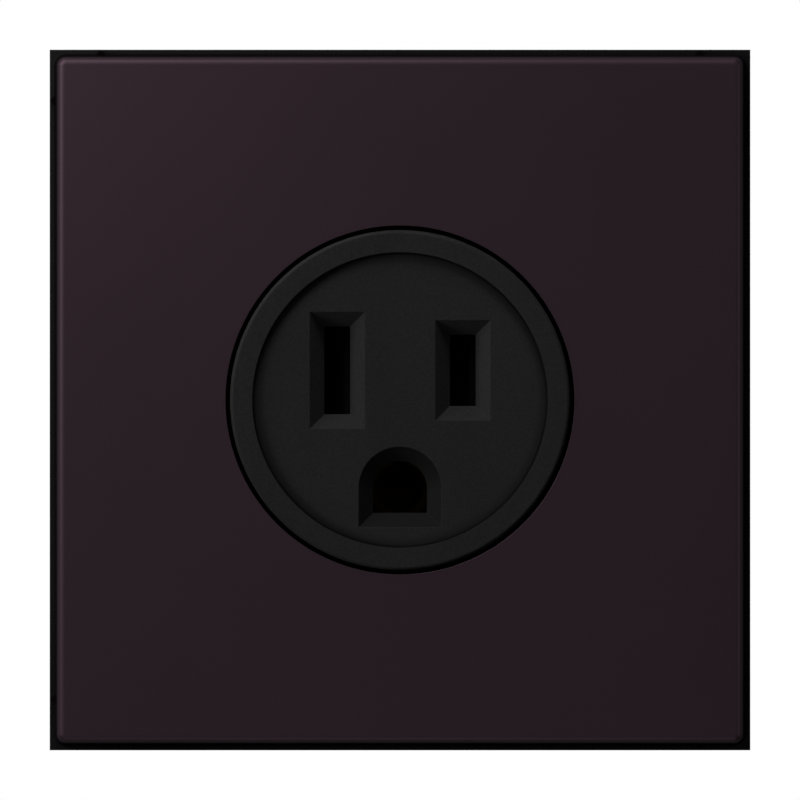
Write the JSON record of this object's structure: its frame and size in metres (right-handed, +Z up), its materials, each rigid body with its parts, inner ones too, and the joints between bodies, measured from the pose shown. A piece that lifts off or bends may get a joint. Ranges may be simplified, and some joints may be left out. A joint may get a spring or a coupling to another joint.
{
  "type": "wall outlet",
  "caption": "Flush wall outlet with a round black socket face for two flat blades and a round earth pin, in a square aubergine centre plate with a black rim.",
  "frame": {"origin": "centre of the box screw pattern, on the rear face of the support ring's rim, which is the wall surface", "axes": "+X right and +Z up as the outlet is seen from the room, +Y into the wall; the front faces -Y"},
  "size_m": [0.071, 0.0343, 0.071],
  "materials": {
    "cover_lacquer": "satin aubergine lacquer",
    "black_plastic": "fine-grained satin",
    "shutter_plastic": "matte",
    "housing_plastic": "matte",
    "zinc_steel": "zinc-plated, satin",
    "spring_steel": "drawn wire",
    "contact_brass": "stamped",
    "brass_screw": "turned",
    "nickel_screw": "nickel-plated",
    "green_screw": "dyed green"
  },
  "bodies": {
    "insert": {"support_ring": "zinc_steel", "receptacle_face": "black_plastic", "shutter_base": "shutter_plastic", "shutter_spring": "spring_steel", "contact_block": "housing_plastic", "terminal_block": "housing_plastic", "hot_contact": "contact_brass", "neutral_contact": "contact_brass", "earth_contact": "contact_brass", "bonding_rivet": "zinc_steel", "right_claw_pin": "zinc_steel", "left_claw_pin": "zinc_steel", "housing_screws": "zinc_steel"},
    "cover": {"cover_plate": "cover_lacquer", "carrier_frame": "black_plastic"},
    "shutter": {"shutter_slider": "shutter_plastic"},
    "hot_clamp": {"hot_clamp": "zinc_steel"},
    "hot_screw": {"hot_screw": "brass_screw"},
    "neutral_clamp": {"neutral_clamp": "zinc_steel"},
    "neutral_screw": {"neutral_screw": "nickel_screw"},
    "earth_clamp": {"earth_clamp": "zinc_steel"},
    "earth_screw": {"earth_screw": "green_screw"},
    "right_claw": {"right_claw": "zinc_steel"},
    "right_claw_screw": {"right_claw_screw": "zinc_steel"},
    "left_claw": {"left_claw": "zinc_steel"},
    "left_claw_screw": {"left_claw_screw": "zinc_steel"}
  },
  "joints": [
    {"name": "cover_pull_off", "type": "slide", "parent": "insert", "child": "cover", "axis": [0, -1, 0], "range_m": [0, 0.03]},
    {"name": "shutter_slide", "type": "slide", "parent": "insert", "child": "shutter", "axis": [1, 0, 0], "range_m": [0, 0.003], "stiffness_N_per_m": 120, "springref_m": -0.003, "deforming": ["shutter_spring"]},
    {"name": "hot_clamp_slide", "type": "slide", "parent": "insert", "child": "hot_clamp", "axis": [-1, 0, 0], "range_m": [0, 0.0021]},
    {"name": "hot_screw_turn", "type": "hinge", "parent": "hot_clamp", "child": "hot_screw", "pos_m": [0.01275, 0.0172, -0.0045], "axis": [-1, 0, 0], "range_deg": [0, 1260]},
    {"name": "neutral_clamp_slide", "type": "slide", "parent": "insert", "child": "neutral_clamp", "axis": [1, 0, 0], "range_m": [0, 0.0021]},
    {"name": "neutral_screw_turn", "type": "hinge", "parent": "neutral_clamp", "child": "neutral_screw", "pos_m": [-0.01275, 0.0172, 0.0055], "axis": [1, 0, 0], "range_deg": [0, 1260]},
    {"name": "earth_clamp_slide", "type": "slide", "parent": "insert", "child": "earth_clamp", "axis": [0, 0, 1], "range_m": [0, 0.0021]},
    {"name": "earth_screw_turn", "type": "hinge", "parent": "earth_clamp", "child": "earth_screw", "pos_m": [0, 0.0172, -0.01465], "axis": [0, 0, 1], "range_deg": [0, 1260]},
    {"name": "right_claw_screw_turn", "type": "hinge", "parent": "insert", "child": "right_claw_screw", "pos_m": [0.0242, 0, 0.0085], "axis": [0, 1, 0], "range_deg": [0, 1110]},
    {"name": "right_claw_swing", "type": "hinge", "parent": "insert", "child": "right_claw", "pos_m": [0.0204, 0.005, 0.0085], "axis": [0, 0, -1], "range_deg": [0, 22]},
    {"name": "left_claw_screw_turn", "type": "hinge", "parent": "insert", "child": "left_claw_screw", "pos_m": [-0.0242, 0, -0.0085], "axis": [0, 1, 0], "range_deg": [0, 1110]},
    {"name": "left_claw_swing", "type": "hinge", "parent": "insert", "child": "left_claw", "pos_m": [-0.0204, 0.005, -0.0085], "axis": [0, 0, 1], "range_deg": [0, 22]}
  ],
  "couplings": [
    {"joint": "hot_screw_turn", "follows": "hot_clamp_slide", "rad_per_m": 10472},
    {"joint": "neutral_screw_turn", "follows": "neutral_clamp_slide", "rad_per_m": 10472},
    {"joint": "earth_screw_turn", "follows": "earth_clamp_slide", "rad_per_m": 10472},
    {"joint": "right_claw_swing", "follows": "right_claw_screw_turn", "ratio": 0.01982},
    {"joint": "left_claw_swing", "follows": "left_claw_screw_turn", "ratio": 0.01982}
  ]
}
